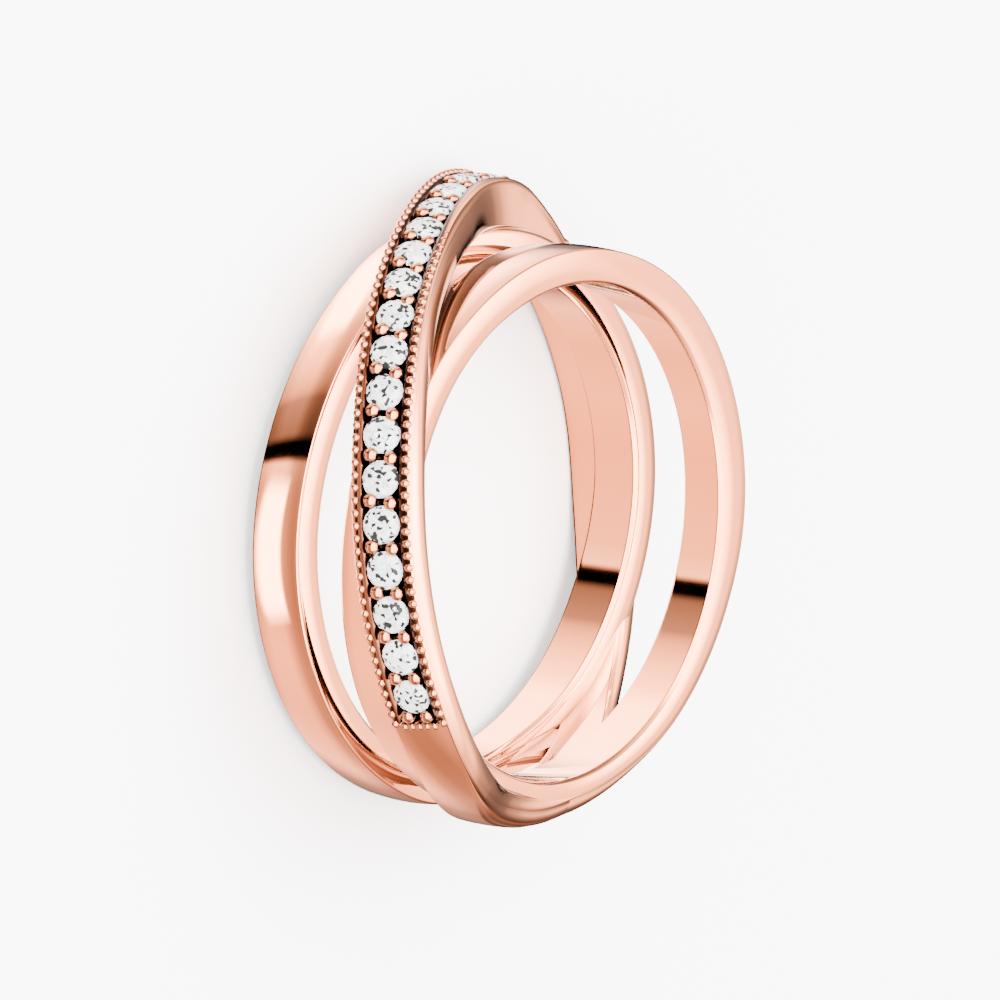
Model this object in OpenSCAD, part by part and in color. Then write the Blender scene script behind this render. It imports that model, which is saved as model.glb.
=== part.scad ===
// Crossover ring: one closed plain band, and one longer strand that goes round the finger twice.
// The strand is set with a row of round stones where it crosses over both plain turns.
// The ring lies on its side, and the origin is on the finger hole's axis, midway between the plain turns.

/* [Finger hole] */
// Diameter of the finger hole
bore_d = 17.3; // [17.1:0.1:17.5]

/* [Bands] */
// Chamfer along the outer edges
edge_c = 0.12; // [0.08:0.02:0.16]
// Rise of the outer face in the middle of a band
crown = 0.06; // [0.02:0.02:0.1]

/* [Stones] */
// How many stones the row has
stone_n = 17; // [14:1:17]
// Diameter of a stone
stone_d = 1.3; // [1.2:0.05:1.35]
// Distance between the centres of two stones, along the strand
stone_pitch = 1.555; // [1.54:0.005:1.56]
// Width of the flat top of a stone, as a share of its diameter
table_share = 0.57; // [0.5:0.01:0.62]
// Thickness of a stone's girdle
girdle_h = 0.04; // [0.02:0.01:0.05]
// Height of a stone above its girdle
stone_crown_h = 0.2; // [0.16:0.01:0.22]
// Depth of a stone below its girdle
stone_point_h = 0.54; // [0.48:0.01:0.56]
// Depth of the girdle below the outer face of the strand
girdle_drop = 0.14; // [0.12:0.01:0.16]
// Gap between a stone and its seat
seat_gap = 0.03; // [0.02:0.01:0.04]

/* [Setting] */
// Depth of the channel that the stones stand in
channel_h = 0.3; // [0.26:0.01:0.32]
// Width of the beaded border on the left of the channel
border_left = 0.34; // [0.32:0.01:0.36]
// Width of the beaded border on the right of the channel
border_right = 0.41; // [0.38:0.01:0.42]
// Distance between two beads of a border
border_pitch = 0.43; // [0.4:0.01:0.5]
// Diameter of a claw between two stones
claw_d = 0.46; // [0.4:0.02:0.5]
// Distance of a claw from the middle of the row
claw_offset = 0.37; // [0.35:0.01:0.4]

/* [Hidden] */
bore_r = bore_d / 2;
front_a = -55;
step_a = 6;
over = 0.1;
open_h = 1;
inset = 0.03;
hole_h = 12;
border_rise = 0.18;
end_bead_n = 5;
end_bead_d = 0.3;
end_bead_drop = 0.08;
border_waist = 0.45;
claw_taper = 0.6;
path_step = 0.5;
fill_high = 1.1;
fill_w = 1;

// Closed band. Columns: angle, left edge, right edge, underside and outside above the hole's wall,
// and lean, by which the left outer edge stands above the outside and the right one below it
closed_band = [
    [-60, -3.08, -1.05, 0, 1.25, 0],
    [-30, -3.08, -1.00, 0, 1.21, 0],
    [0, -3.05, -1.05, 0, 1.21, 0],
    [30, -3.00, -1.00, 0, 1.21, 0],
    [55, -3.05, -1.00, 0, 1.25, 0],
    [80, -3.05, -0.80, 0, 1.55, 0],
    [105, -2.60, -0.45, 0, 1.60, 0],
    [130, -2.30, -0.36, 0, 1.30, 0],
    [155, -2.35, -0.38, 0, 1.21, 0],
    [180, -2.45, -0.50, 0, 1.21, 0],
    [205, -2.75, -0.72, 0, 1.21, 0],
    [230, -2.92, -0.95, 0, 1.21, 0],
    [255, -3.08, -1.35, 0, 1.33, 0],
    [275, -3.10, -1.30, 0, 1.37, 0]
];

// Strand of two turns, first with stones and then plain. Same columns, and the angle runs on
strand = [
    [-96, 0.95, 3.17, 0.40, 1.17, 0],
    [-80, 0.92, 3.26, 0.45, 1.58, 0],
    [-65, 1.50, 3.60, 0.56, 1.81, 0.05],
    [-52, 2.18, 4.32, 0.74, 1.93, 0.12],
    [-40, 2.68, 4.80, 0.88, 2.03, 0.18],
    [-25, 2.87, 4.98, 0.96, 2.13, 0.25],
    [-10, 2.76, 4.83, 1.00, 2.22, 0.30],
    [5, 2.47, 4.51, 1.06, 2.32, 0.34],
    [20, 2.02, 4.05, 1.18, 2.47, 0.37],
    [32, 1.46, 3.49, 1.29, 2.60, 0.38],
    [44, 0.71, 2.76, 1.39, 2.71, 0.37],
    [56, -0.11, 1.93, 1.47, 2.83, 0.33],
    [68, -0.96, 1.11, 1.50, 2.97, 0.25],
    [80, -1.87, 0.27, 1.52, 3.15, 0.16],
    [92, -2.67, -0.55, 1.56, 3.32, 0.07],
    [103, -3.20, -0.85, 1.50, 3.23, 0],
    [113, -3.42, -0.95, 1.30, 2.55, 0],
    [124, -3.45, -1.05, 0.85, 1.85, 0],
    [140, -3.45, -1.15, 0.30, 1.38, 0],
    [158, -3.50, -1.25, 0.03, 1.30, 0],
    [180, -3.50, -1.40, 0.03, 1.32, 0],
    [195, -3.20, -1.20, 0.20, 1.42, 0],
    [210, -2.75, -0.75, 0.65, 1.55, 0],
    [225, -2.00, -0.05, 0.80, 1.55, 0],
    [240, -1.05, 0.95, 0.75, 1.42, 0],
    [258, -0.10, 2.00, 0.55, 1.25, 0],
    [278, 0.40, 2.45, 0.25, 1.25, 0],
    [300, 0.50, 2.75, 0, 1.25, 0],
    [325, 0.52, 2.95, 0, 1.21, 0],
    [350, 0.72, 3.00, 0, 1.21, 0],
    [375, 0.88, 3.02, 0, 1.21, 0],
    [405, 0.92, 3.02, 0, 1.21, 0],
    [435, 0.92, 3.18, 0, 1.21, 0],
    [465, 1.15, 3.28, 0, 1.25, 0],
    [490, 1.45, 3.28, 0, 1.43, 0],
    [520, 1.60, 3.25, 0, 1.51, 0],
    [545, 1.56, 3.25, 0, 1.49, 0],
    [565, 1.50, 3.25, 0, 1.25, 0],
    [585, 1.40, 3.25, 0, 1.07, 0],
    [608, 1.15, 3.20, 0, 1.03, 0],
    [632, 0.80, 3.20, 0, 1.38, 0],
    [642, 0.85, 3.25, 0, 1.53, 0],
    [655, 1.35, 3.30, 0, 1.35, 0],
    [668, 1.90, 3.30, 0, 1.10, 0]
];
strand_cuts = [-94, 215, 575, 668];
channel_start = -28.5;
channel_end = 104;
first_stone = 1.25;

// The closed band's table, carried on past both ends
band_round = concat(
    [for (i = [-3 : -1]) closed_band[len(closed_band) + i] - [360, 0, 0, 0, 0, 0]],
    closed_band,
    [for (i = [0 : 2]) closed_band[i] + [360, 0, 0, 0, 0, 0]]
);

function span(T, t, i = 0) = i >= len(T) - 2 || t < T[i + 1][0] ? i : span(T, t, i + 1);

function slope(T, i) =
    let (p = T[max(i - 1, 0)], q = T[min(i + 1, len(T) - 1)])
    (q - p) / (q[0] - p[0]);

// Smooth row of table T at angle t
function row(T, t) =
    let (
        i = span(T, t),
        w = T[i + 1][0] - T[i][0],
        s = (t - T[i][0]) / w
    )
    T[i] * (2 * s ^ 3 - 3 * s ^ 2 + 1) + slope(T, i) * w * (s ^ 3 - 2 * s ^ 2 + s)
    + T[i + 1] * (3 * s ^ 2 - 2 * s ^ 3) + slope(T, i + 1) * w * (s ^ 3 - s ^ 2);

// Point at angle t, radius r and height h
function spot(t, r, h) = [r * cos(front_a - t), r * sin(front_a - t), h];

// Angle and width of the outer face across a band
function lean_a(v) = atan2(2 * v[5], v[2] - v[1]);

function face_w(v) = norm([v[2] - v[1], 2 * v[5]]);

// Point on the outer face, at distance d from its left edge and raised by up
function on_face(v, d, up) =
    let (a = lean_a(v))
    spot(v[0], bore_r + v[4] + v[5] - d * sin(a) + up * cos(a), v[1] + d * cos(a) + up * sin(a));

// Distance of the stone row from the left edge
function row_d(v) = (border_left + face_w(v) - border_right) / 2;

function row_spot(t) = let (v = row(strand, t)) on_face(v, row_d(v), 0);

// Cross-section of a band from one row. It reaches into the hole where it lines the hole
function band_section(v) =
    let (
        ri = bore_r + (v[3] < inset ? -over : v[3]),
        ro = bore_r + v[4]
    )
    [for (p = [
        [ri, v[1]], [ri, v[2]], [ro - v[5] - edge_c, v[2]], [ro - v[5], v[2] - edge_c],
        [ro + crown, (v[1] + v[2]) / 2], [ro + v[5], v[1] + edge_c], [ro + v[5] - edge_c, v[1]]
    ]) spot(v[0], p[0], p[1])];

function box_section(t, left, right, r0, r1) =
    [spot(t, r0, left), spot(t, r0, right), spot(t, r1, right), spot(t, r1, left)];

// Arc length along the middle of the strand from the channel's start, paired with the angle
path_table = [
    for (
        t = channel_start - 1, s = 0;
        t <= channel_end + 2;
        s = s + norm(row_spot(t + path_step) - row_spot(t)), t = t + path_step
    ) [s, t]
];

function angle_at(s) = lookup(s, path_table);

stone_a = [for (i = [0 : stone_n - 1]) angle_at(first_stone + i * stone_pitch)];
claw_a = [for (i = [0 : stone_n]) angle_at(first_stone + (i - 0.5) * stone_pitch)];
two = function (i) str(i < 10 ? "0" : "", i);

// Closed skin through a list of sections
module skin(rings, closed = false) {
    n = len(rings);
    m = len(rings[0]);
    sides = [
        for (i = [0 : closed ? n - 1 : n - 2], j = [0 : m - 1], half = [0, 1])
        let (
            a = i * m + j,
            b = i * m + (j + 1) % m,
            c = ((i + 1) % n) * m + (j + 1) % m,
            d = ((i + 1) % n) * m + j
        )
        half == 0 ? [a, b, c] : [a, c, d]
    ];
    ends = closed ? [] : [[for (j = [m - 1 : -1 : 0]) j], [for (j = [0 : m - 1]) (n - 1) * m + j]];
    polyhedron(points = [for (r = rings, p = r) p], faces = concat(sides, ends), convexity = 10);
}

// Places a piece on the stone row, sunk by drop, with its axis square to the outer face
module on_strand(t, drop) {
    v = row(strand, t);
    translate(on_face(v, row_d(v), -drop)) rotate([0, 90 - lean_a(v), front_a - t]) children();
}

module plain_band() {
    skin([for (t = [0 : step_a : 360 - step_a]) band_section(row(band_round, t))], closed = true);
}

module strand_part(t0, t1) {
    n = ceil((t1 - t0) / step_a);
    skin([for (i = [0 : n]) band_section(row(strand, t0 + (t1 - t0) * i / n))]);
}

// Metal between the crossing strand and the band under it, where the two lie over each other
module bridge(low, turn, t0, t1) {
    n = ceil((t1 - t0) / step_a);
    skin([
        for (i = [0 : n])
        let (
            t = t0 + (t1 - t0) * i / n,
            top = row(strand, t),
            base = row(low, t + turn),
            left = max(top[1], base[1]) + inset,
            right = max(min(top[2], base[2]) - inset, left + over)
        )
        box_section(t, left, right, bore_r + base[4] - 3 * over, bore_r + top[3] + 3 * over)
    ]);
}

// Metal in the corner where the strand leaves the closed band and rises beside it, tapering to its end
module corner_fill(t0, t1) {
    n = ceil((t1 - t0) / step_a);
    skin([
        for (i = [0 : n])
        let (
            t = t0 + (t1 - t0) * i / n,
            beside = row(strand, t),
            side = row(band_round, t)[2],
            reach = min(beside[1] + over, side - inset + fill_w * (t1 - t) / (t1 - t0))
        )
        box_section(t, side - over, reach, bore_r + beside[3] + inset, bore_r + fill_high)
    ]);
}

// Beaded border: a bar along the strand that swells to its full size once in every pitch
module border(side, width) {
    length = first_stone + stone_n * stone_pitch;
    n = round(length / border_pitch);
    skin([
        for (i = [0 : 2 * n])
        let (
            t = angle_at(i * length / (2 * n)),
            v = row(strand, t),
            d = side < 0 ? width / 2 : face_w(v) - width / 2,
            swell = i % 2 == 1 ? 1 : border_waist
        )
        [for (a = [-54 : 72 : 234])
            on_face(v, d + (width - inset) / 2 * swell * cos(a), border_rise * swell * sin(a))]
    ]);
}

module channel() {
    n = ceil((channel_end - channel_start) / step_a);
    skin([
        for (i = [0 : n])
        let (
            t = channel_start + (channel_end - channel_start) * i / n,
            v = row(strand, t)
        )
        [for (p = [[0, -channel_h], [1, -channel_h], [1, open_h], [0, open_h]])
            on_face(v, border_left + (face_w(v) - border_left - border_right) * p[0], p[1])]
    ]);
}

module seat() {
    r = stone_d / 2 + seat_gap;
    depth = stone_point_h + seat_gap;
    belt = girdle_h / 2 + seat_gap / 2;
    translate([0, 0, -depth]) cylinder(h = depth - belt, r1 = seat_gap, r2 = r, $fn = 16);
    translate([0, 0, -belt - seat_gap / 2]) cylinder(h = open_h, r = r, $fn = 16);
}

module claws() {
    for (t = claw_a, side = [-1, 1])
        on_strand(t, channel_h + over) translate([side * claw_offset, 0, 0])
            cylinder(h = channel_h + 2 * over, d1 = claw_d, d2 = claw_d * claw_taper, $fn = 6);
}

// Row of small beads across the strand, below the first claws
module end_beads() {
    v = row(strand, channel_start);
    gap = (face_w(v) - border_left - border_right) / end_bead_n;
    for (i = [0 : end_bead_n - 1])
        translate(on_face(v, border_left + (i + 0.5) * gap, -end_bead_drop))
            rotate([0, 90 - lean_a(v), front_a - channel_start])
                cylinder(h = end_bead_drop + over, d1 = end_bead_d, d2 = end_bead_d * claw_taper, $fn = 6);
}

module ring_bands() {
    color("#e2a88f")
    difference() {
        resize([0, 0, 0])
        difference() {
            union() {
                plain_band();
                difference() {
                    for (i = [0 : len(strand_cuts) - 2]) strand_part(strand_cuts[i], strand_cuts[i + 1]);
                    channel();
                }
                bridge(strand, 360, 10, 66);
                bridge(band_round, 0, 69, 120);
                corner_fill(240, 258);
                border(-1, border_left);
                border(1, border_right);
                claws();
                end_beads();
            }
            for (t = stone_a) on_strand(t, girdle_drop) seat();
        }
        cylinder(r = bore_r, h = hole_h, center = true, $fn = 180);
    }
}

// Round cut stone: an eight-sided table, a crown, a girdle with sixteen corners and a point
module stone() {
    r = stone_d / 2;
    belt = girdle_h / 2;
    table = [for (j = [0 : 7]) [r * table_share * cos(45 * j), r * table_share * sin(45 * j), stone_crown_h]];
    top = [for (i = [0 : 15]) [r * cos(22.5 * i), r * sin(22.5 * i), belt]];
    low = [for (i = [0 : 15]) [r * cos(22.5 * i), r * sin(22.5 * i), -belt]];
    crown_faces = [for (j = [0 : 7]) each [
        [j, (j + 1) % 8, 8 + 2 * j + 1],
        [j, 8 + 2 * j + 1, 8 + 2 * j],
        [j, 8 + 2 * j, 8 + (2 * j + 15) % 16]
    ]];
    belt_faces = [for (i = [0 : 15]) each [
        [8 + i, 8 + (i + 1) % 16, 24 + (i + 1) % 16],
        [8 + i, 24 + (i + 1) % 16, 24 + i]
    ]];
    point_faces = [for (i = [0 : 15]) [24 + i, 24 + (i + 1) % 16, 40]];
    color("white") polyhedron(
        points = concat(table, top, low, [[0, 0, -stone_point_h]]),
        faces = concat([[7, 6, 5, 4, 3, 2, 1, 0]], crown_faces, belt_faces, point_faces)
    );
}

ring_bands();
for (i = [1 : stone_n])
    on_strand(stone_a[i - 1], girdle_drop) stone();
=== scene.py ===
import bpy
import numpy as np
from mathutils import Matrix, Vector


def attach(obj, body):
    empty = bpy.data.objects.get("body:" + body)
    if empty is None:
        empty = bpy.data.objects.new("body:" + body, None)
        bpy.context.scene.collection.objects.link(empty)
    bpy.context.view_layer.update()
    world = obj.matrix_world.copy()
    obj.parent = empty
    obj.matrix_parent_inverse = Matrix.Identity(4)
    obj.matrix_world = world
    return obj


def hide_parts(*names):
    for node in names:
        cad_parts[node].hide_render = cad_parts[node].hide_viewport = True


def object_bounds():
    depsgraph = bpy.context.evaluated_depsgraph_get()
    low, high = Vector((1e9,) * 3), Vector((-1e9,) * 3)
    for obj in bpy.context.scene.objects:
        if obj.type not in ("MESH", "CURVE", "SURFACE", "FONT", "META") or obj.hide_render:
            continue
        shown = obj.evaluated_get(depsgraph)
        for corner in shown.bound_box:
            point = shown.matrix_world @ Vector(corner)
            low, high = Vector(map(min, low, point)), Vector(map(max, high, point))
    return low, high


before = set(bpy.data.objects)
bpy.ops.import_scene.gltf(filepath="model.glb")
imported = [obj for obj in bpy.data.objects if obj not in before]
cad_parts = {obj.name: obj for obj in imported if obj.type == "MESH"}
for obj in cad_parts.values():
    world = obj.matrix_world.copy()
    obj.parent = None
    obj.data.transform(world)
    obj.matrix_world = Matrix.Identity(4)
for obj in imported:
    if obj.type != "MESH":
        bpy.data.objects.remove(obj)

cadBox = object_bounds()
print("frame loaded, box in metres:", [list(corner) for corner in cadBox])

# Sizes are in millimetres and angles in degrees where no comment says otherwise
millimetre = 0.001  # in metres
ring = {
    "holeRadius": 8.65,
    "frontAngle": -55.0,
    "outerEdge": 0.12,
    "innerBevel": 0.12,
    "softEdge": 0.025,
    "innerSoft": 0.055,
    "crown": 0.06,
    "sideCrown": 0.045,
    "sideSlope": 0.02,
    "cornerSamples": [4, 4, 4, 9, 7, 4],
    "sideCuts": [0.04, 0.2, 0.4, 0.6, 0.8, 0.96],
    "closedStep": 0.5,
    "strandStep": 0.65,
    "strandSpan": (-94.0, 668.0),
    # wider rounding of the bands' right outer edge: begins at this angle, is full at that, and its size
    "wideEdges": [(-38.0, -72.0, 0.6), (590.0, 640.0, 0.65), (60.0, 82.0, 0.34)],
    # angle where the widening of the first pass stops short, which leaves a small step there
    "firstPass": 120.0,
}
channel = {
    "start": -28.5,
    "end": 104.0,
    "depth": 0.7,
    "leftBorder": 0.34,
    "rightBorder": 0.41,
    "leastBorder": 0.1,
    "wall": 0.015,
    "floorCuts": 8,
    "edgeGaps": (0.05, 0.04),
    "endGap": 0.03,
    # painted shade: its share on the channel floor, on the border strips where the beads stand, and on those
    # strips' outer columns as a share of that
    "shade": 0.2,
    "borderShade": 0.98,
    "borderOuterShade": 0.8,
}

# Columns: angle, left and right edge, underside and outside above the hole's wall, lean of the outer face
closedBandRows = np.array([
    [-60, -3.08, -1.05, 0, 1.25, 0], [-30, -3.08, -1.00, 0, 1.21, 0],
    [0, -3.05, -1.05, 0, 1.21, 0], [30, -3.00, -1.00, 0, 1.21, 0],
    [55, -3.05, -1.00, 0, 1.25, 0], [80, -3.05, -0.80, 0, 1.55, 0],
    [105, -2.60, -0.45, 0, 1.60, 0], [130, -2.30, -0.36, 0, 1.30, 0],
    [155, -2.35, -0.38, 0, 1.21, 0], [180, -2.45, -0.50, 0, 1.21, 0],
    [205, -2.75, -0.72, 0, 1.21, 0], [230, -2.92, -0.95, 0, 1.21, 0],
    [255, -3.08, -1.35, 0, 1.33, 0], [275, -3.10, -1.30, 0, 1.37, 0],
])
strandRows = np.array([
    [-96, 0.95, 3.17, 0.40, 1.17, 0], [-80, 0.92, 3.26, 0.45, 1.58, 0],
    [-65, 1.50, 3.60, 0.56, 1.81, 0.05], [-52, 2.18, 4.32, 0.74, 1.93, 0.12],
    [-40, 2.68, 4.80, 0.88, 2.03, 0.18], [-25, 2.87, 4.98, 0.96, 2.13, 0.25],
    [-10, 2.76, 4.83, 1.00, 2.22, 0.30], [5, 2.47, 4.51, 1.06, 2.32, 0.34],
    [20, 2.02, 4.05, 1.18, 2.47, 0.37], [32, 1.46, 3.49, 1.29, 2.60, 0.38],
    [44, 0.71, 2.76, 1.39, 2.71, 0.37], [56, -0.11, 1.93, 1.47, 2.83, 0.33],
    [68, -0.96, 1.11, 1.50, 2.97, 0.25], [80, -1.87, 0.27, 1.52, 3.15, 0.16],
    [92, -2.67, -0.55, 1.56, 3.32, 0.07], [103, -3.20, -0.85, 1.50, 3.23, 0],
    [113, -3.42, -0.95, 1.30, 2.55, 0], [124, -3.45, -1.05, 0.85, 1.85, 0],
    [140, -3.45, -1.15, 0.30, 1.38, 0], [158, -3.50, -1.25, 0.05, 1.30, 0],
    [180, -3.50, -1.40, 0.05, 1.32, 0], [195, -3.20, -1.20, 0.20, 1.42, 0],
    [210, -2.75, -0.75, 0.65, 1.55, 0], [225, -2.00, -0.05, 0.80, 1.55, 0],
    [240, -1.05, 0.95, 0.75, 1.42, 0], [258, -0.10, 2.00, 0.55, 1.25, 0],
    [278, 0.40, 2.45, 0.25, 1.25, 0], [300, 0.50, 2.75, 0, 1.25, 0],
    [325, 0.52, 2.95, 0, 1.21, 0], [350, 0.72, 3.00, 0, 1.21, 0],
    [375, 0.88, 3.02, 0, 1.21, 0], [405, 0.92, 3.02, 0, 1.21, 0],
    [435, 0.92, 3.18, 0, 1.21, 0], [465, 1.15, 3.28, 0, 1.25, 0],
    [490, 1.45, 3.28, 0, 1.43, 0], [520, 1.60, 3.25, 0, 1.51, 0],
    [545, 1.56, 3.25, 0, 1.49, 0], [565, 1.50, 3.25, 0, 1.25, 0],
    [585, 1.40, 3.25, 0, 1.07, 0], [608, 1.15, 3.20, 0, 1.03, 0],
    [632, 0.80, 3.20, 0, 1.38, 0], [642, 0.85, 3.25, 0, 1.53, 0],
    [655, 1.35, 3.30, 0, 1.35, 0], [668, 1.90, 3.30, 0, 1.10, 0],
])
closedBandRows = np.vstack([
    closedBandRows[-3:] - [360, 0, 0, 0, 0, 0],
    closedBandRows,
    closedBandRows[:3] + [360, 0, 0, 0, 0, 0],
])


# Rows between the table's rows: a cubic, whose slope at a row is the slope between the row's neighbours
def rowsAt(table, angles):
    knots = table[:, 0]
    order = np.arange(len(knots))
    before, after = np.maximum(order - 1, 0), np.minimum(order + 1, len(knots) - 1)
    slopes = (table[after] - table[before]) / (knots[after] - knots[before])[:, None]
    span = np.clip(np.searchsorted(knots, angles, side="right") - 1, 0, len(knots) - 2)
    width = (knots[span + 1] - knots[span])[:, None]
    s = (angles - knots[span])[:, None] / width
    return (
        table[span] * (2 * s**3 - 3 * s**2 + 1) + slopes[span] * width * (s**3 - 2 * s**2 + s)
        + table[span + 1] * (3 * s**2 - 2 * s**3) + slopes[span + 1] * width * (s**3 - s**2)
    )


# Point at angle, radius and height: the angle runs backwards from the front angle, round the hole's axis
def spot(angles, radius, height):
    turn = np.radians(ring["frontAngle"] - angles)
    return np.stack([radius * np.cos(turn), radius * np.sin(turn), height + 0 * turn], axis=-1)


# Left corner of the outer face, the unit directions across the face and out of it, all as (radius, height),
# and the face's width
def outerFace(rows):
    left, right, outside, lean = rows[:, 1], rows[:, 2], rows[:, 4], rows[:, 5]
    corner = np.stack([ring["holeRadius"] + outside + lean, left], axis=-1)
    across = np.stack([-2 * lean, right - left], axis=-1)
    width = np.linalg.norm(across, axis=-1)
    across = across / width[:, None]
    out = np.stack([across[:, 1], -across[:, 0]], axis=-1)
    return corner, across, out, width


# Points on the outer face: the left corner, plus a distance across it, plus a rise out of it
def onFace(rows, distance, rise):
    corner, across, out, width = outerFace(rows)
    point = corner + across * np.reshape(distance, (-1, 1)) + out * np.reshape(rise, (-1, 1))
    return spot(rows[:, 0], point[:, 0], point[:, 1])


# Rounded corner of a section: a quadratic curve from a point before the corner to a point after it
def softCorner(before, corner, after, size, count):
    toBefore, toAfter = before - corner, after - corner
    start = corner + toBefore * (size / np.linalg.norm(toBefore, axis=-1))[:, None]
    end = corner + toAfter * (size / np.linalg.norm(toAfter, axis=-1))[:, None]
    s = np.linspace(0, 1, count)[None, :, None]
    return start[:, None] * (1 - s) ** 2 + 2 * corner[:, None] * s * (1 - s) + end[:, None] * s**2


# Size of the right outer edge's rounding: the plain size, plus the widening times a smooth step, where the
# strand's start and end meet and where the strand is highest
def rightEdge(angles):
    size = np.full(len(angles), ring["outerEdge"])
    for begin, full, wide in ring["wideEdges"]:
        s = np.clip((angles - begin) / (full - begin), 0, 1)
        samePass = angles < ring["firstPass"] if full < ring["firstPass"] else angles > ring["firstPass"]
        step = s * s * (3 - 2 * s) * samePass
        size = np.maximum(size, ring["outerEdge"] + (wide - ring["outerEdge"]) * step)
    return size


# Section of a band at each row, as a closed loop of (radius, height): bevelled inside, soft corners
# outside, a slightly crowned outer face, and in it the channel where its share is 1
def bandSections(rows, share):
    count = len(rows)
    left, right, outside, lean = rows[:, 1], rows[:, 2], rows[:, 4], rows[:, 5]
    inner, outer = ring["holeRadius"] + np.maximum(rows[:, 3], 0), ring["holeRadius"] + outside - lean
    bevel, soft, edge, slope = ring["innerBevel"], ring["softEdge"], ring["outerEdge"], ring["sideSlope"]
    corner, across, out, width = outerFace(rows)
    corners = [
        np.stack([inner, left + bevel], -1), np.stack([inner, right - bevel], -1),
        np.stack([inner + bevel, right + slope], -1), np.stack([outer, right], -1),
        corner, np.stack([inner + bevel, left - slope], -1),
    ]
    wideEdge = rightEdge(rows[:, 0])
    sizes = [soft, soft, ring["innerSoft"], wideEdge, edge, ring["innerSoft"]]
    rounded = [
        softCorner(corners[i - 1], corners[i], corners[(i + 1) % 6], sizes[i], ring["cornerSamples"][i])
        for i in range(6)
    ]
    # Distances across the outer face from right to left: border, wall, channel floor, wall, border
    leftGap, rightGap = channel["edgeGaps"]
    faceEnd = width - wideEdge - rightGap
    lowBorder = channel["leftBorder"] + 0 * width
    highBorder = np.minimum(width - channel["rightBorder"], faceEnd - channel["leastBorder"])
    wall, cuts = channel["wall"], channel["floorCuts"]
    columns = [faceEnd, (faceEnd + highBorder) / 2, highBorder, highBorder - wall]
    columns += [highBorder + (lowBorder - highBorder) * k / cuts for k in range(1, cuts)]
    columns += [lowBorder + wall, lowBorder, (lowBorder + edge) / 2, edge + leftGap + 0 * width]
    distance = np.stack(columns, -1)
    sunk = np.zeros(distance.shape)
    sunk[:, 3:-3] = share[:, None]
    swell = 1 - (2 * (distance - edge) / (width - 2 * edge)[:, None] - 1) ** 2
    rise = ring["crown"] * swell * (1 - share[:, None]) - channel["depth"] * sunk
    face = corner[:, None] + across[:, None] * distance[..., None] + out[:, None] * rise[..., None]

    # Points on the straight line between two corners, swelling out of the side by up to the side's crown
    def between(a, b, outward):
        place = np.array(ring["sideCuts"])[None, :, None]
        line = a[:, -1:] + (b[:, :1] - a[:, -1:]) * place
        return line + np.array([0, outward * ring["sideCrown"]]) * 4 * place * (1 - place)

    loop = np.concatenate([
        rounded[0], between(rounded[0], rounded[1], 0), rounded[1], rounded[2],
        between(rounded[2], rounded[3], 1), rounded[3], face, rounded[4],
        between(rounded[4], rounded[5], -1), rounded[5],
    ], axis=1)
    before = sum(ring["cornerSamples"][:4]) + 2 * len(ring["sideCuts"])
    # Painted shade: the channel floor a little darker and the border strips under the beads almost black, so
    # the gaps between beads look shadowed
    shade = np.zeros(loop.shape[:2])
    shade[:, before : before + face.shape[1]] = sunk * channel["shade"]
    border = before + np.array([0, 1, 2, -3, -2, -1]) % face.shape[1]
    edgeShade = channel["borderOuterShade"]
    shade[:, border] = np.array([edgeShade, 1, 1, 1, 1, edgeShade]) * channel["borderShade"] * share[:, None]
    return loop, shade.reshape(count, -1)


# Mesh from points in millimetres and faces, facing outwards, with a shade for each point where it is given:
# painted shade on the gold, or the falloff of a card's light
def meshPiece(name, points, faces, shade=None, smooth=True):
    mesh = bpy.data.meshes.new(name)
    mesh.from_pydata((points * millimetre).tolist(), [], faces)
    mesh.update()
    mesh.validate()
    if smooth:
        mesh.polygons.foreach_set("use_smooth", np.ones(len(mesh.polygons), dtype=bool))
    if shade is not None:
        shades = mesh.attributes.new("shade", "FLOAT", "POINT")
        shades.data.foreach_set("value", shade.astype(np.float32).ravel())
    piece = bpy.data.objects.new(name, mesh)
    bpy.context.scene.collection.objects.link(piece)
    return piece


# Faces of a grid of sections: four neighbours make a face, the loop closes, and the ends meet or get a cap
def sweepFaces(stations, loopCount, closed):
    i = np.arange(stations if closed else stations - 1)[:, None]
    j = np.arange(loopCount)[None, :]
    nextI, nextJ = (i + 1) % stations, (j + 1) % loopCount
    quads = np.stack([
        i * loopCount + j, nextI * loopCount + j, nextI * loopCount + nextJ, i * loopCount + nextJ,
    ], -1)
    faces = quads.reshape(-1, 4).tolist()
    if not closed:
        faces.append(list(range(loopCount)))
        faces.append(list(range(stations * loopCount - 1, (stations - 1) * loopCount - 1, -1)))
    return faces


# A band: its section at each angle, carried round the hole
def bandPiece(name, table, angles, share, closed=False):
    rows = rowsAt(table, angles)
    loop, shade = bandSections(rows, share)
    points = spot(angles[:, None], loop[..., 0], loop[..., 1])
    return meshPiece(name, points.reshape(-1, 3), sweepFaces(len(angles), loop.shape[1], closed), shade)


closedAngles = np.arange(0, 360, ring["closedStep"])
closedBand = bandPiece("closed_band", closedBandRows, closedAngles, 0 * closedAngles, closed=True)
strandStart, strandEnd = ring["strandSpan"]
strandAngles = np.arange(strandStart, strandEnd, ring["strandStep"])
ends = [channel[end] + gap for end in ("start", "end") for gap in (-channel["endGap"], channel["endGap"])]
strandAngles = np.unique(np.concatenate([strandAngles, ends, [strandEnd]]))
share = ((strandAngles > channel["start"]) & (strandAngles < channel["end"])).astype(float)
strand = bandPiece("crossing_strand", strandRows, strandAngles, share)
print("bands:", len(closedBand.data.polygons), len(strand.data.polygons), "faces")


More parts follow.
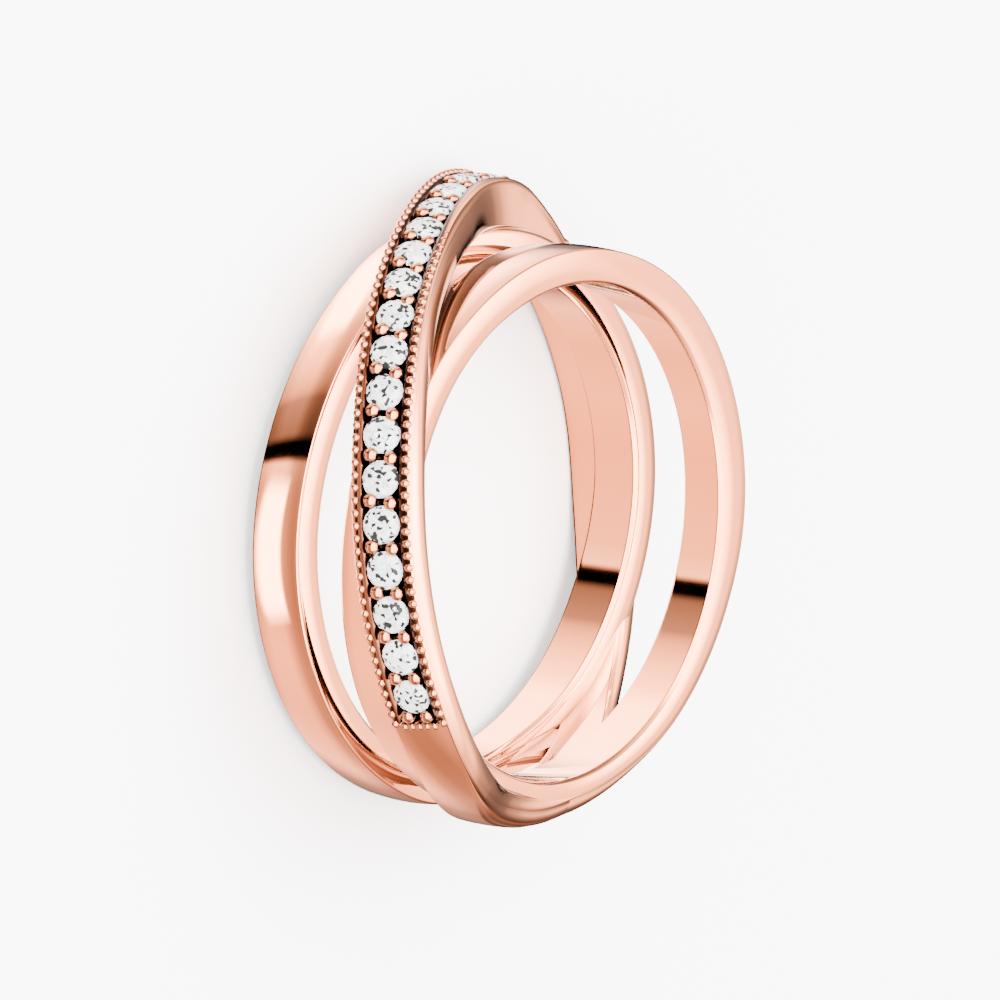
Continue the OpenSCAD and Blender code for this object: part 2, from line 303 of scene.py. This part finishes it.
# A four-sided bar carried round the hole: at each angle its section is a box from left to right and from
# inside to outside
def barPiece(name, angles, left, right, inside, outside):
    corners = [(inside, left), (inside, right), (outside, right), (outside, left)]
    points = np.stack([spot(angles, radius, height) for radius, height in corners], axis=1)
    shade = np.zeros(points.shape[:2])
    return meshPiece(name, points.reshape(-1, 3), sweepFaces(len(angles), 4, False), shade, smooth=False)


solder = {
    "overStrand": (12.0, 65.0),
    "overClosedBand": (71.0, 118.0),
    "inset": 0.12,
    "leastWidth": 0.05,
    "sunk": 0.2,
    "stations": 60,
}


# Metal between the strand and the band under it: a bar from just inside one to just inside the other
def solderPiece(name, low, turn, start, end):
    angles = np.linspace(start, end, solder["stations"])
    top, base = rowsAt(strandRows, angles), rowsAt(low, angles + turn)
    left = np.maximum(top[:, 1], base[:, 1]) + solder["inset"]
    right = np.maximum(np.minimum(top[:, 2], base[:, 2]) - solder["inset"], left + solder["leastWidth"])
    inside = ring["holeRadius"] + base[:, 4] - solder["sunk"]
    outside = ring["holeRadius"] + top[:, 3] + solder["sunk"]
    return barPiece(name, angles, left, right, inside, outside)


solderLow = solderPiece("solder_over_strand", strandRows, 360, *solder["overStrand"])
solderHigh = solderPiece("solder_over_closed_band", closedBandRows, 0, *solder["overClosedBand"])

fill = {
    "span": (240.0, 258.0),
    "sunk": 0.1,
    "inset": 0.03,
    "width": 1.0,
    "top": 1.1,
    "stations": 40,
}


# Metal in the corner where the strand leaves the closed band: a bar from the band's side towards the
# strand's side, tapering to its end
def cornerPiece(name, start, end):
    angles = np.linspace(start, end, fill["stations"])
    side = rowsAt(closedBandRows, angles)[:, 2]
    beside = rowsAt(strandRows, angles)
    taper = fill["width"] * (end - angles) / (end - start)
    reach = np.minimum(beside[:, 1] + fill["sunk"], side - fill["inset"] + taper)
    inside = ring["holeRadius"] + beside[:, 3] + fill["inset"]
    outside = ring["holeRadius"] + fill["top"] + 0 * side
    return barPiece(name, angles, side - fill["sunk"], reach, inside, outside)


cornerFill = cornerPiece("corner_fill", *fill["span"])

stones = {
    "count": 17,
    "diameter": 1.3,
    "pitch": 1.555,
    "first": 1.25,
    "drop": 0.14,
    "tableShare": 0.57,
    "crownHeight": 0.2,
    "pointDepth": 0.54,
    "girdle": 0.04,
    "crownRing": 0.8,
    "pointRing": 0.24,
    "pathReach": (1.0, 2.0),
    "pathStep": 0.25,
}

# Length along the middle of the stone row, paired with the angle, from just before the channel to just
# after it
pathBefore, pathAfter = stones["pathReach"]
pathAngles = np.arange(channel["start"] - pathBefore, channel["end"] + pathAfter, stones["pathStep"])
pathRows = rowsAt(strandRows, pathAngles)
pathWidth = outerFace(pathRows)[3]
pathPoints = onFace(pathRows, (channel["leftBorder"] + pathWidth - channel["rightBorder"]) / 2, 0 * pathWidth)
pathLength = np.concatenate([[0], np.cumsum(np.linalg.norm(np.diff(pathPoints, axis=0), axis=1))])


# Frames on the outer face at a length along the row: the point, and the unit directions across, along and
# out. The point is in the middle of the row, or at a distance from the left or the right edge
def faceFrames(length, fromLeft=None, fromRight=None, rise=0.0):
    angles = np.interp(length, pathLength, pathAngles)
    rows = rowsAt(strandRows, angles)
    corner, across, out, width = outerFace(rows)
    distance = (channel["leftBorder"] + width - channel["rightBorder"]) / 2
    if fromLeft is not None:
        distance = fromLeft + 0 * width
    if fromRight is not None:
        distance = width - fromRight
    centre = onFace(rows, distance, rise + 0 * width)
    acrossWay = spot(angles, across[:, 0], across[:, 1])
    outWay = spot(angles, out[:, 0], out[:, 1])
    alongWay = np.cross(outWay, acrossWay)
    return centre, np.stack([acrossWay, alongWay, outWay], axis=1)


studs = {"sides": 14, "shadeOver": 0.6}


# Many turned studs in one mesh: the profile's radius and height are turned round the out direction,
# stretched to the size across, along and out, and closed by a point at each end. Painted shade goes in a
# straight line from shadeLow at height 0 to shadeTop at the height shadeOver of the profile, so the stud
# looks shadowed at its foot
def studPiece(name, centres, frames, profile, size, shadeTop, shadeLow):
    profile, sides = np.array(profile), studs["sides"]
    turn = np.linspace(0, 2 * np.pi, sides, endpoint=False)
    ringPart = profile[1:-1]
    count, levels = len(centres), len(ringPart)
    local = np.stack([
        ringPart[:, :1] * np.cos(turn), ringPart[:, :1] * np.sin(turn), ringPart[:, 1:] + 0 * turn,
    ], axis=-1).reshape(-1, 3)
    local = np.vstack([local, [0, 0, profile[0, 1]], [0, 0, profile[-1, 1]]])
    points = centres[:, None] + np.einsum("ki,nij->nkj", local * np.array(size), frames)
    i, j = np.arange(levels - 1)[:, None], np.arange(sides)[None, :]
    quads = np.stack([
        i * sides + j, i * sides + (j + 1) % sides, (i + 1) * sides + (j + 1) % sides, (i + 1) * sides + j,
    ], -1).reshape(-1, 4)
    k, last = np.arange(sides), (levels - 1) * sides
    bottom = np.stack([(k + 1) % sides, k, 0 * k + levels * sides], -1)
    top = np.stack([last + k, last + (k + 1) % sides, 0 * k + levels * sides + 1], -1)
    start = (np.arange(count) * len(local))[:, None, None]
    faces = (quads[None] + start).reshape(-1, 4).tolist()
    faces += (bottom[None] + start).reshape(-1, 3).tolist() + (top[None] + start).reshape(-1, 3).tolist()
    climb = np.clip(local[:, 2] / studs["shadeOver"], 0, 1)
    shade = np.tile(shadeLow + (shadeTop - shadeLow) * climb, (count, 1))
    return meshPiece(name, points.reshape(-1, 3), faces, shade)


beads = {
    "pitch": 0.42,
    "leftAcross": 0.15,
    "leftPlace": 0.16,
    "rightAcross": 0.17,
    "rightPlace": 0.2,
    "along": 0.16,
    "height": 0.13,
    "sink": 0.05,
    # where the right beads sink: from angle, to angle, depth
    "lowered": (58.0, 74.0, 0.16),
    "foot": [(0, -0.6), (0.9, -0.6), (0.98, -0.2)],
    "domeAngles": [0, 18, 36, 54, 72],
    # painted shade on the beads: at their top, and at their foot
    "shades": (0.45, 1.0),
}


# Profile of a stud: its foot, then a dome whose radius and height are the cosine and the sine of an angle
def studProfile(foot, domeAngles):
    return foot + [(np.cos(v), np.sin(v)) for v in np.radians(domeAngles)] + [(0, 1.0)]


dome = studProfile(beads["foot"], beads["domeAngles"])
rowLength = stones["first"] + stones["count"] * stones["pitch"]
beadCount = int(round(rowLength / beads["pitch"]))
beadLength = (np.arange(beadCount) + 0.5) * rowLength / beadCount
leftCentres, leftFrames = faceFrames(beadLength, fromLeft=beads["leftPlace"], rise=-beads["sink"])
beadAngles = np.interp(beadLength, pathLength, pathAngles)
lowerFrom, lowerTo, lowerBy = beads["lowered"]
lowered = lowerBy * np.clip((beadAngles - lowerFrom) / (lowerTo - lowerFrom), 0, 1)
rightRise = -beads["sink"] - lowered
rightCentres, rightFrames = faceFrames(beadLength, fromRight=beads["rightPlace"], rise=rightRise)
beadHeight = beads["height"] + beads["sink"]
leftBeads = studPiece("left_border_beads", leftCentres, leftFrames, dome,
                      (beads["leftAcross"], beads["along"], beadHeight), *beads["shades"])
rightBeads = studPiece("right_border_beads", rightCentres, rightFrames, dome,
                       (beads["rightAcross"], beads["along"], beadHeight), *beads["shades"])

claws = {
    "radius": 0.25,
    "offset": 0.36,
    "top": 0.13,
    "domeHeight": 0.2,
    "foot": [(0, -3.5), (0.95, -3.5), (1.0, -0.3)],
    "domeAngles": [0, 15, 30, 45, 60, 75],
    # painted shade on the claws: at their top, and at their foot
    "shades": (0.35, 1.0),
}
clawLength = stones["first"] + (np.arange(stones["count"] + 1) - 0.5) * stones["pitch"]
middle, clawFrames = faceFrames(clawLength, rise=claws["top"] - claws["domeHeight"])
clawOffset = clawFrames[:, 0] * claws["offset"]
clawCentres = np.concatenate([middle - clawOffset, middle + clawOffset])
clawPiece = studPiece("claws", clawCentres, np.concatenate([clawFrames, clawFrames]),
                      studProfile(claws["foot"], claws["domeAngles"]),
                      (claws["radius"], claws["radius"], claws["domeHeight"]), *claws["shades"])

endRowBeads = {"count": 5, "before": 0.6, "sink": 0.03, "size": (0.135, 0.15, 0.15)}
endCount = endRowBeads["count"]
endRow = rowsAt(strandRows, np.full(endCount, channel["start"] - endRowBeads["before"]))
endGap = (outerFace(endRow)[3] - channel["leftBorder"] - channel["rightBorder"]) / endCount
endDistance = channel["leftBorder"] + (np.arange(endCount) + 0.5) * endGap
endCentres = onFace(endRow, endDistance, np.full(endCount, -endRowBeads["sink"]))
endFrames = faceFrames(np.zeros(endCount))[1]
endBeads = studPiece("end_beads", endCentres, endFrames, dome, endRowBeads["size"], *beads["shades"])
print("beads and claws placed:", 2 * beadCount + len(clawCentres) + endCount)


# A round brilliant cut: table, eight stars, eight kites, sixteen upper facets, a girdle, sixteen lower
# facets and eight mains. Kites and mains lie in planes from the girdle to the table and to the point. The
# points come in rings: 0 to 7 the table, 8 to 15 the crown, 16 to 31 and 32 to 47 the girdle, 48 to 55 the
# lower ring, 56 the tip
def brilliant(centre, axes):
    r, belt, tilt = stones["diameter"] / 2, stones["girdle"] / 2, np.cos(np.pi / 8)
    main = np.radians(45 * np.arange(8))
    off, around = main + np.pi / 8, np.radians(22.5 * np.arange(16))
    circle = lambda a, radius, z: np.stack([radius * np.cos(a), radius * np.sin(a), z + 0 * a], -1)
    crownPlane = stones["crownHeight"] * (1 - stones["crownRing"] * tilt) / (1 - stones["tableShare"])
    pointPlane = -stones["pointDepth"] * (1 - stones["pointRing"] * tilt)
    points = np.vstack([
        circle(main, r * stones["tableShare"], stones["crownHeight"]),
        circle(off, r * stones["crownRing"], belt + crownPlane),
        circle(around, r, belt), circle(around, r, -belt),
        circle(off, r * stones["pointRing"], pointPlane),
        [[0, 0, -stones["pointDepth"]]],
    ])
    faces = [list(range(8))]
    for k in range(8):
        j, back, g = (k + 1) % 8, (k + 7) % 8, 16 + 2 * k
        mid, far = 16 + (2 * k + 1) % 16, 16 + (2 * k + 2) % 16
        faces += [[k, 8 + k, j], [k, 8 + back, g, 8 + k], [8 + k, g, mid], [8 + k, mid, far]]
        faces += [[g, g + 16, mid + 16, mid], [mid, mid + 16, far + 16, far]]
    for k in range(8):
        back, g = (k + 7) % 8, 16 + 2 * k
        mid, far = 16 + (2 * k + 1) % 16, 16 + (2 * k + 2) % 16
        faces += [[48 + k, mid + 16, g + 16], [48 + k, far + 16, mid + 16], [56, 48 + k, g + 16, 48 + back]]
    return centre + points @ axes, faces


stoneLength = stones["first"] + np.arange(stones["count"]) * stones["pitch"]
stoneCentres, stoneFrames = faceFrames(stoneLength, rise=-stones["drop"])
stonePieces = []
for index in range(stones["count"]):
    points, faces = brilliant(stoneCentres[index], stoneFrames[index])
    stone = meshPiece("cut_stone_%02d" % (index + 1), points, faces, smooth=False)
    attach(stone, "root")
    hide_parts("stone_%02d" % (index + 1))
    stonePieces.append(stone)
print("stones cut:", len(stonePieces))

gold = {
    "colour": (0.94, 0.33, 0.155, 1),
    # painted reflection: the paler colour the gold takes on glossy rays, so gold mirrored in gold looks
    # lighter
    "paintedReflection": (0.9, 0.76, 0.68, 1),
    # painted shade: the near-black colour mixed in where the gold is painted darker
    "paintedShade": (0.022, 0.005, 0.0025, 1),
    # painted shade in narrow corners: how far off another surface still darkens a corner, in metres
    "reach": 0.0012,
    "reachRays": 8,
    # painted shade: occlusion at which the corner shade is full, and at which it is gone
    "open": (0.2, 0.65),
    "roughness": (0.035, 0.07),
    "swirl": 2500.0,
    "swirlDetail": 4.0,
}


# A new material, with its nodes and their links
def newMaterial(name):
    material = bpy.data.materials.new(name)
    material.use_nodes = True
    return material, material.node_tree.nodes, material.node_tree.links


# Polished rose gold: a slow variation of the polish over the surface, painted shade, a near-black colour, in
# narrow corners and where the shade value is high, and a painted reflection, a paler colour, where one part
# of the gold is mirrored in another
def goldMaterial():
    material, nodes, links = newMaterial("polished_rose_gold")
    shader = nodes["Principled BSDF"]
    shader.inputs["Metallic"].default_value = 1.0
    # Painted shade: the shade value of each point mixes the near-black colour into the gold
    shade = nodes.new("ShaderNodeAttribute")
    shade.attribute_name = "shade"
    colour = nodes.new("ShaderNodeMix")
    colour.data_type = "RGBA"
    colour.inputs["B"].default_value = gold["paintedShade"]
    # Painted reflection: on glossy rays the gold's colour turns paler
    seen = nodes.new("ShaderNodeLightPath")
    paintedReflection = nodes.new("ShaderNodeMix")
    paintedReflection.data_type = "RGBA"
    paintedReflection.inputs["A"].default_value = gold["colour"]
    paintedReflection.inputs["B"].default_value = gold["paintedReflection"]
    links.new(seen.outputs["Is Glossy Ray"], paintedReflection.inputs["Factor"])
    links.new(paintedReflection.outputs["Result"], colour.inputs["A"])
    # Painted shade: ambient occlusion darkens the colour in narrow corners
    corner = nodes.new("ShaderNodeAmbientOcclusion")
    corner.samples = gold["reachRays"]
    corner.inputs["Distance"].default_value = gold["reach"]
    closeness = nodes.new("ShaderNodeMapRange")
    closeness.inputs["From Max"].default_value, closeness.inputs["From Min"].default_value = gold["open"]
    links.new(corner.outputs["AO"], closeness.inputs["Value"])
    # Painted shade: the stronger of the shade value and the corner darkening
    paintedShadeAmount = nodes.new("ShaderNodeMath")
    paintedShadeAmount.operation = "MAXIMUM"
    links.new(shade.outputs["Fac"], paintedShadeAmount.inputs[0])
    links.new(closeness.outputs["Result"], paintedShadeAmount.inputs[1])
    links.new(paintedShadeAmount.outputs["Value"], colour.inputs["Factor"])
    links.new(colour.outputs["Result"], shader.inputs["Base Color"])
    place = nodes.new("ShaderNodeTexCoord")
    polish = nodes.new("ShaderNodeTexNoise")
    polish.inputs["Scale"].default_value = gold["swirl"]
    polish.inputs["Detail"].default_value = gold["swirlDetail"]
    links.new(place.outputs["Object"], polish.inputs["Vector"])
    spread = nodes.new("ShaderNodeMapRange")
    spread.inputs["To Min"].default_value, spread.inputs["To Max"].default_value = gold["roughness"]
    links.new(polish.outputs["Fac"], spread.inputs["Value"])
    links.new(spread.outputs["Result"], shader.inputs["Roughness"])
    return material


facets = {
    "cells": 7500.0,
    # painted dark facets: rows of a cell's random number and the level from there on
    "crownPaintedDark": [(0.0, 0.01), (0.29, 1.0)],
    "lowerPaintedDark": [(0.0, 0.01), (0.27, 0.4), (0.33, 1.0)],
    "clear": 0.75,
    "bend": 1.9,
    "gloss": 0.05,
    # painted sparkle and shade: the lower facets' brightness levels, and how often each is drawn
    "levels": [0.1, 0.6, 1.0],
    "shares": [0.06, 0.12, 0.82],
    "mirror": 0.4,
    "polish": 0.02,
    "lowerCount": 24,
    "draw": 7,
}


# Painted dark flecks, which stand in for facets that send back no light: cells of random size and place
# through the stone, each with a level taken from the rows in steps
def paintedDarkLevel(nodes, links, rows):
    place = nodes.new("ShaderNodeTexCoord")
    cells = nodes.new("ShaderNodeTexVoronoi")
    cells.inputs["Scale"].default_value = facets["cells"]
    links.new(place.outputs["Object"], cells.inputs["Vector"])
    paintedDark = nodes.new("ShaderNodeValToRGB")
    paintedDark.color_ramp.interpolation = "CONSTANT"
    elements = paintedDark.color_ramp.elements
    while len(elements) < len(rows):
        elements.new(0.5)
    for element, (position, level) in zip(elements, rows):
        element.position = position
        element.color = (level, level, level, 1)
    links.new(cells.outputs["Color"], paintedDark.inputs["Fac"])
    return paintedDark.outputs["Color"]


# Clear cut stone: glass that bends light strongly, with painted dark flecks that stand in for facets without
# light
def stoneMaterial():
    material, nodes, links = newMaterial("clear_cut_stone")
    shader = nodes["Principled BSDF"]
    shader.inputs["Roughness"].default_value = 0.0
    shader.inputs["IOR"].default_value = facets["bend"]
    shader.inputs["Specular IOR Level"].default_value = facets["gloss"]
    level = paintedDarkLevel(nodes, links, facets["crownPaintedDark"])
    links.new(level, shader.inputs["Base Color"])
    clear = nodes.new("ShaderNodeMath")
    clear.operation = "MULTIPLY"
    clear.inputs[1].default_value = facets["clear"]
    links.new(level, clear.inputs[0])
    links.new(clear.outputs["Value"], shader.inputs["Transmission Weight"])
    return material


# The stone's lower facets mirror the light back, as in a well cut stone or a foiled one. Each facet has its
# own painted brightness, for painted sparkle and shade, times the painted dark flecks' level
def facetMaterial():
    material, nodes, links = newMaterial("lower_facets_painted_sparkle")
    shader = nodes["Principled BSDF"]
    paintedSparkle = nodes.new("ShaderNodeAttribute")
    paintedSparkle.attribute_name = "paintedSparkle"
    both = nodes.new("ShaderNodeMix")
    both.data_type = "RGBA"
    both.blend_type = "MULTIPLY"
    both.inputs["Factor"].default_value = 1.0
    links.new(paintedSparkle.outputs["Color"], both.inputs["A"])
    links.new(paintedDarkLevel(nodes, links, facets["lowerPaintedDark"]), both.inputs["B"])
    links.new(both.outputs["Result"], shader.inputs["Base Color"])
    shader.inputs["Metallic"].default_value = facets["mirror"]
    shader.inputs["Roughness"].default_value = facets["polish"]
    return material


goldFinish, stoneFinish, facetFinish = goldMaterial(), stoneMaterial(), facetMaterial()
soldered = [closedBand, strand, solderLow, solderHigh, cornerFill]
for piece in soldered + [leftBeads, rightBeads, clawPiece, endBeads]:
    piece.data.materials.append(goldFinish)
    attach(piece, "root")
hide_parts("ring_bands")
paintedSparkleDraw = np.random.default_rng(facets["draw"])
for stone in stonePieces:
    mesh = stone.data
    mesh.materials.append(stoneFinish)
    mesh.materials.append(facetFinish)
    lower = np.zeros(len(mesh.polygons), dtype=np.int32)
    lower[-facets["lowerCount"]:] = 1
    mesh.polygons.foreach_set("material_index", lower)
    # Painted sparkle and shade: each lower facet gets a random brightness level
    paintedSparkle = paintedSparkleDraw.choice(facets["levels"], size=len(lower), p=facets["shares"])
    colours = np.stack([paintedSparkle, paintedSparkle, paintedSparkle, 1 + 0 * paintedSparkle], axis=1)
    colours = colours.repeat([len(facet.vertices) for facet in mesh.polygons], axis=0)
    paintedSparkles = mesh.attributes.new("paintedSparkle", "FLOAT_COLOR", "CORNER")
    paintedSparkles.data.foreach_set("color", colours.astype(np.float32).ravel())
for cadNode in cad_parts.values():
    cadNode.data.materials.clear()
    cadNode.data.materials.append(goldFinish if cadNode.name == "ring_bands" else stoneFinish)
print("finishes set")

# Camera: the photograph's viewing angle, with the turn of its picture. The directions to the camera and to
# the picture's right are made of shares of front, aside and upright
picture = {
    "front": (0.5736, -0.8192, 0.0),
    "aside": (-0.8192, -0.5736, 0.0),
    "towards": (0.781, 0.1736, 0.5995),
    "right": (-0.6088, 0.0, 0.7934),
    "distance": 347.2,
    "shift": (0.056, 0.8125),
    "lens": 360,
    "sensor": 36,
    # nearest distance that the camera sees, in metres
    "nearest": 0.01,
}
basis = Matrix((picture["front"], picture["aside"], (0, 0, 1))).transposed()
towards = (basis @ Vector(picture["towards"])).normalized()
right = (basis @ Vector(picture["right"])).normalized()
up = towards.cross(right).normalized()
right = up.cross(towards).normalized()
place = (right * picture["shift"][0] + up * picture["shift"][1] + towards * picture["distance"]) * millimetre
cameraData = bpy.data.cameras.new("camera")
cameraData.lens = picture["lens"]
cameraData.sensor_width = picture["sensor"]
cameraData.clip_start = picture["nearest"]
camera = bpy.data.objects.new("camera", cameraData)
bpy.context.scene.collection.objects.link(camera)
camera.matrix_world = Matrix((
    (right.x, up.x, towards.x, place.x), (right.y, up.y, towards.y, place.y),
    (right.z, up.z, towards.z, place.z), (0, 0, 0, 1),
))
bpy.context.scene.camera = camera

studio = {
    "floorHalf": 600.0,
    "floorColour": (0.93, 0.93, 0.93, 1),
    "floorRoughness": 0.9,
    # soft lamps, which the polish does not mirror: place and size in metres, and power
    "soft": [
        ("soft_top", (0.02, -0.02, 0.45), (0.45, 0.45), 10),
        ("soft_side", (-0.25, -0.10, 0.35), (0.3, 0.3), 4),
    ],
    # light from round the ring, seen below the horizon: angle in degrees from +X, brightness and warmth
    "lowRound": [
        (-180, 12, 0.2), (-150, 12, 0.3), (-138, 8, 0.6), (-112, 3, 0.7), (-107, 1.2, 0.4), (-92, 0.7, 0.4),
        (-89, 0.0, 0), (-82, 0.0, 0), (-80, 5, 0.5), (-70, 4, 0.8), (-24, 3.7, 1), (0, 4, 0.9),
        (30, 3.4, 0.9), (60, 4, 0.9), (78, 1.1, 1), (94, 0.5, 1), (104, 0.35, 0.8), (109, 0.0, 0),
        (127, 0.0, 0), (133, 0.3, 0), (142, 0.8, 0.3), (154, 6, 0.6), (170, 12, 0.3), (180, 12, 0.2),
    ],
    # share of that light by the sine of the elevation
    "lowShare": [
        (-1.0, 0.03), (-0.88, 0.05), (-0.8, 0.5), (-0.7, 1.0), (-0.58, 1.0), (-0.5, 0.42), (-0.42, 0.27),
        (-0.3, 0.27), (-0.15, 0.5),
    ],
    # light from above the horizon by the sine of the elevation, and its share round the ring
    "upright": [
        (-0.12, 0.25, 0), (0.0, 0.25, 0), (0.15, 0.4, 0), (0.3, 1.1, 0.3), (0.45, 3.5, 0.5), (0.6, 3.9, 0.6),
        (0.7, 8.0, 0.4), (0.85, 14.0, 0.1), (1.0, 10.0, 0),
    ],
    "highRound": [
        (-180, 0.9), (-150, 1.2), (-100, 1.4), (-67, 1.0), (-30, 1.4), (30, 1.0), (75, 0.35),
        (90, 0.8), (103, 1.25), (114, 1.3), (126, 1.4), (142, 2.0), (155, 1.6), (180, 0.9),
    ],
    # light from low in front, which the stones send back
    "frontHeight": [(0.1, 0), (0.2, 16), (0.55, 16), (0.7, 4), (0.8, 0)],
    "frontRound": [(-145, 0), (-125, 1), (-15, 1), (0, 0)],
    # what full warmth takes from red, green and blue
    "warmest": (0.0, 0.34, 0.5),
    # sines of elevation between which the light from above gives way to the light from below
    "blend": (-0.02, -0.12),
    # light of the room where it is not mirrored
    "plain": 2.3,
    "brightest": 20.0,
}


# Colour ramp from rows of place, brightness and warmth, with places from 0 to 1: each colour is the
# brightness over the scale, less what the warmth takes from it
def lightRamp(nodes, rows, scale):
    ramp = nodes.new("ShaderNodeValToRGB")
    elements = ramp.color_ramp.elements
    while len(elements) < len(rows):
        elements.new(0.5)
    for element, row in zip(elements, rows):
        element.position = row[0]
    for element, (place, brightness, *warmth) in zip(elements, rows):
        tint = [1 - sum(warmth) * share for share in studio["warmest"]]
        element.color = (*[brightness / scale * part for part in tint], 1)
    return ramp


lowest = min(corner[2] for corner in cadBox) / millimetre
half = studio["floorHalf"]
floorCorners = np.array([[-1, -1, 0], [1, -1, 0], [1, 1, 0], [-1, 1, 0]]) * half + [0, 0, lowest]
floor = meshPiece("floor", floorCorners, [[0, 1, 2, 3]])
floorMaterial, nodes, links = newMaterial("pale_floor")
nodes["Principled BSDF"].inputs["Base Color"].default_value = studio["floorColour"]
nodes["Principled BSDF"].inputs["Roughness"].default_value = studio["floorRoughness"]
floor.data.materials.append(floorMaterial)
floor.visible_glossy = False


# Bright cards lying beside the ring, seen only in the polish
cards = {
    "outlines": [
        [(4.04, -10.01), (4.56, -12.10), (9.88, -8.03), (8.00, -7.09)],
        [(-9.18, -7.91), (-4.91, -11.51), (-2.92, -10.25), (-6.56, -8.34)],
    ],
    "growth": 1.3,
    "margin": 0.2,
    "light": 20.0,
    "above": 0.05,
    "cells": 16,
}


# A card: its points lie between its four corners by their shares across and along, and its light falls off
# towards its edges by a smooth step
def cardPiece(name, outline):
    material, nodes, links = newMaterial(name)
    shader = nodes["Principled BSDF"]
    shader.inputs["Base Color"].default_value = (0, 0, 0, 1)
    shader.inputs["Specular IOR Level"].default_value = 0
    shader.inputs["Emission Color"].default_value = (1, 1, 1, 1)
    shader.inputs["Emission Strength"].default_value = cards["light"]
    glow = nodes.new("ShaderNodeAttribute")
    glow.attribute_name = "shade"
    links.new(glow.outputs["Fac"], shader.inputs["Alpha"])
    corners = np.array([(x, y, lowest + cards["above"]) for x, y in outline])
    middle, cells = corners.mean(axis=0), cards["cells"]
    corners = middle + (corners - middle) * cards["growth"]
    v, u = np.meshgrid(np.linspace(0, 1, cells + 1), np.linspace(0, 1, cells + 1), indexing="ij")
    u, v = u[..., None], v[..., None]
    nearEdge = corners[0] * (1 - u) + corners[1] * u
    farEdge = corners[3] * (1 - u) + corners[2] * u
    points = nearEdge * (1 - v) + farEdge * v
    nearness = [np.clip(np.minimum(w, 1 - w) / cards["margin"], 0, 1) for w in (u, v)]
    shade = np.prod([w * w * (3 - 2 * w) for w in nearness], axis=0)
    i, j = np.arange(cells)[:, None] * (cells + 1), np.arange(cells)[None, :]
    faces = np.stack([i + j, i + j + 1, i + j + cells + 2, i + j + cells + 1], -1).reshape(-1, 4).tolist()
    card = meshPiece(name, points.reshape(-1, 3), faces, shade)
    card.data.materials.append(material)
    card.visible_camera = card.visible_diffuse = card.visible_shadow = card.visible_transmission = False


for number, outline in enumerate(cards["outlines"]):
    cardPiece("bright_card_%d" % (number + 1), outline)
for name, position, size, power in studio["soft"]:
    lampData = bpy.data.lights.new(name, "AREA")
    lampData.shape = "RECTANGLE"
    lampData.size, lampData.size_y = size
    lampData.energy = power
    lamp = bpy.data.objects.new(name, lampData)
    bpy.context.scene.collection.objects.link(lamp)
    lamp.location = position
    lamp.rotation_euler = Vector(position).to_track_quat("Z", "Y").to_euler()
    lamp.visible_glossy = False

# The room: a dark band at the horizon, pale above it, and light and dark panels round the ring below it
world = bpy.data.worlds.new("studio")
world.use_nodes = True
nodes, links = world.node_tree.nodes, world.node_tree.links
way = nodes.new("ShaderNodeTexCoord")
parts = nodes.new("ShaderNodeSeparateXYZ")
links.new(way.outputs["Generated"], parts.inputs["Vector"])
turn = nodes.new("ShaderNodeMath")
turn.operation = "ARCTAN2"
links.new(parts.outputs["Y"], turn.inputs[0])
links.new(parts.outputs["X"], turn.inputs[1])
roundPlace = nodes.new("ShaderNodeMapRange")
roundPlace.inputs["From Min"].default_value = -np.pi
roundPlace.inputs["From Max"].default_value = np.pi
links.new(turn.outputs["Value"], roundPlace.inputs["Value"])


# Two lights made one: multiplied, added, or mixed by a factor, which is a number or the output of a node
def mixLight(blend, a, b, factor=1.0):
    mix = nodes.new("ShaderNodeMix")
    mix.data_type = "RGBA"
    mix.blend_type = blend
    if isinstance(factor, float):
        mix.inputs["Factor"].default_value = factor
    else:
        links.new(factor, mix.inputs["Factor"])
    links.new(a, mix.inputs["A"])
    links.new(b, mix.inputs["B"])
    return mix.outputs["Result"]


# Light read from rows at a place from 0 to 1, straight from row to row
def rampAt(place, rows, scale=1.0):
    ramp = lightRamp(nodes, rows, scale)
    links.new(place, ramp.inputs["Fac"])
    return ramp.outputs["Color"]


heightPlace = nodes.new("ShaderNodeMapRange")
heightPlace.inputs["From Min"].default_value = -1.0
links.new(parts.outputs["Z"], heightPlace.inputs["Value"])
around, height = roundPlace.outputs["Result"], heightPlace.outputs["Result"]
roundRows = lambda rows: [((row[0] + 180) / 360, *row[1:]) for row in rows]
heightRows = lambda rows: [((row[0] + 1) / 2, *row[1:]) for row in rows]
low = mixLight("MULTIPLY", rampAt(around, roundRows(studio["lowRound"]), studio["brightest"]),
               rampAt(height, heightRows(studio["lowShare"])))
high = mixLight("MULTIPLY", rampAt(height, heightRows(studio["upright"]), studio["brightest"]),
                rampAt(around, roundRows(studio["highRound"])))
below = nodes.new("ShaderNodeMapRange")
below.inputs["From Min"].default_value, below.inputs["From Max"].default_value = studio["blend"]
links.new(parts.outputs["Z"], below.inputs["Value"])
room = mixLight("MIX", high, low, below.outputs["Result"])
fore = mixLight("MULTIPLY", rampAt(height, heightRows(studio["frontHeight"]), studio["brightest"]),
                rampAt(around, roundRows(studio["frontRound"])))
room = mixLight("ADD", room, fore)
plain = nodes.new("ShaderNodeRGB")
plain.outputs["Color"].default_value = (*[studio["plain"] / studio["brightest"]] * 3, 1)
ray = nodes.new("ShaderNodeLightPath")
unmirrored = nodes.new("ShaderNodeMath")
unmirrored.operation = "MAXIMUM"
links.new(ray.outputs["Is Camera Ray"], unmirrored.inputs[0])
links.new(ray.outputs["Is Diffuse Ray"], unmirrored.inputs[1])
room = mixLight("MIX", room, plain.outputs["Color"], unmirrored.outputs["Value"])
links.new(room, nodes["Background"].inputs["Color"])
nodes["Background"].inputs["Strength"].default_value = studio["brightest"]
bpy.context.scene.world = world
print("studio set")
